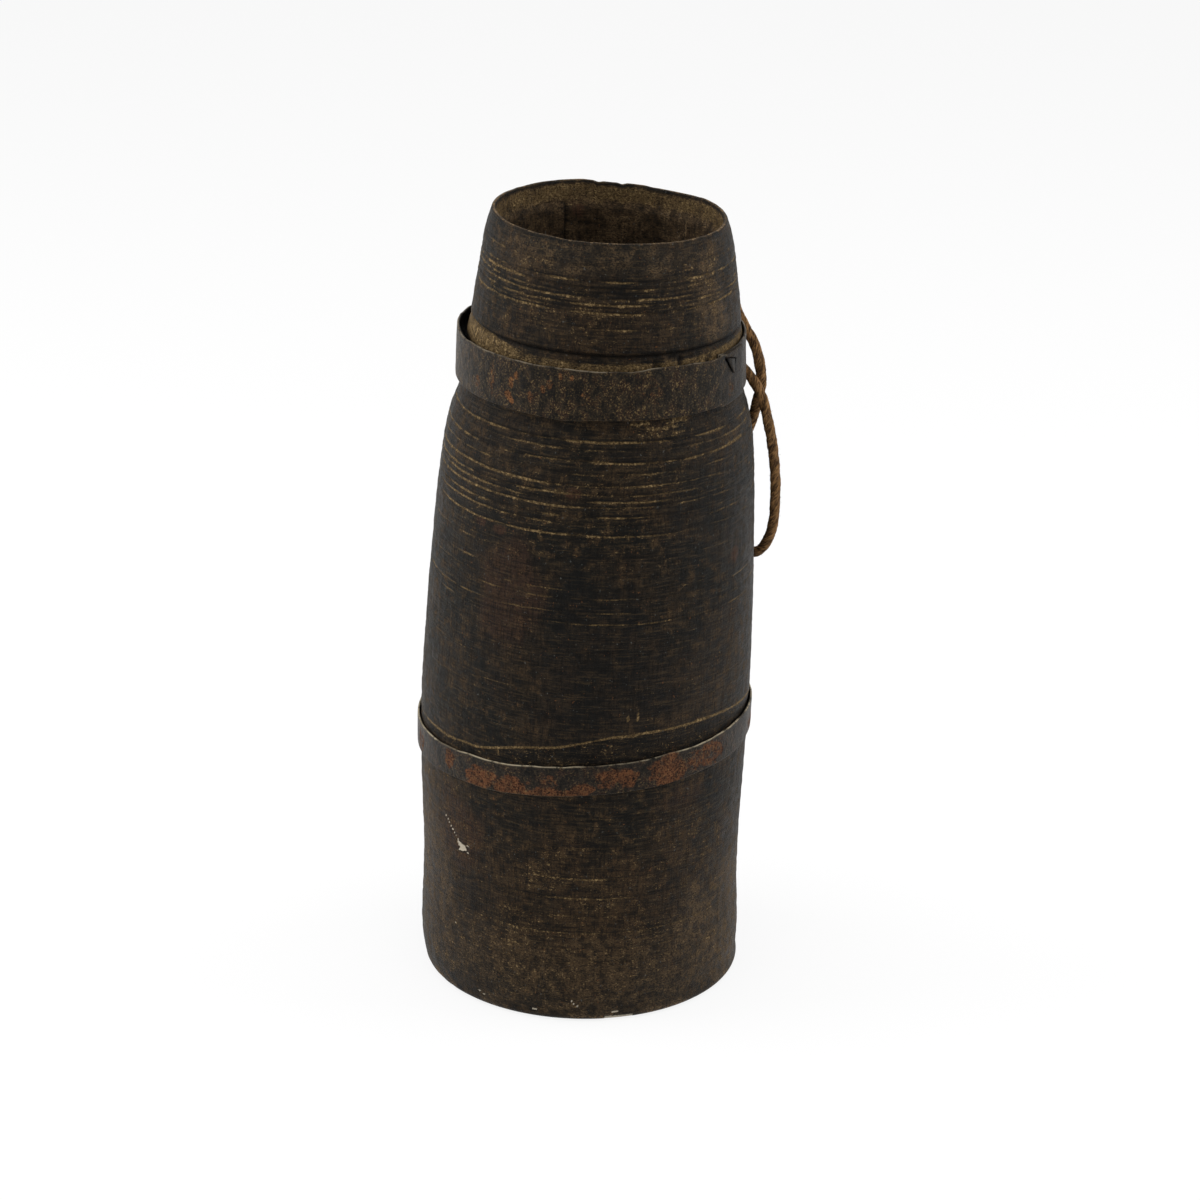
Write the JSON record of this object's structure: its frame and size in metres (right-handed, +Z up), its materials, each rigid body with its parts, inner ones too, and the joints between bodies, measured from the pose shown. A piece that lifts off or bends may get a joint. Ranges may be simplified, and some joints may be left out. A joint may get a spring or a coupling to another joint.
{
  "type": "wooden pot",
  "caption": "Tall turned wooden pot with a narrowing neck and open mouth, iron hoops driven on at shoulder and belly, and a rope carrying loop round the upper hoop.",
  "frame": {"origin": "on the ground, under the middle of the pot with its two hoops", "axes": "+Z up through the mouth; the viewer of the picture stands at -Y, and the rope loop hangs at +X and +Y"},
  "size_m": [0.1805, 0.1694, 0.3989],
  "materials": {
    "wood": "dark aged turned wood, waxy with handling, ochre dust in fine lathe lines",
    "upper_iron": "dark brown-grey forged strap with freckles of rust",
    "lower_iron": "rusty brown forged strap, dark grey where rubbed",
    "rope": "coarse brown twisted plant fibre"
  },
  "bodies": {
    "pot": {"pot_body": "wood", "upper_hoop": "upper_iron", "lower_hoop": "lower_iron", "rope_hitch": "rope", "rope_knot": "rope"},
    "carry_loop": {"rope_loop": "rope"}
  },
  "joints": [
    {"name": "loop_swing", "type": "hinge", "parent": "pot", "child": "carry_loop", "pos_m": [0.0565, 0.06045, 0.326], "axis": [0, 0, 1], "range_deg": [0, 150]}
  ]
}
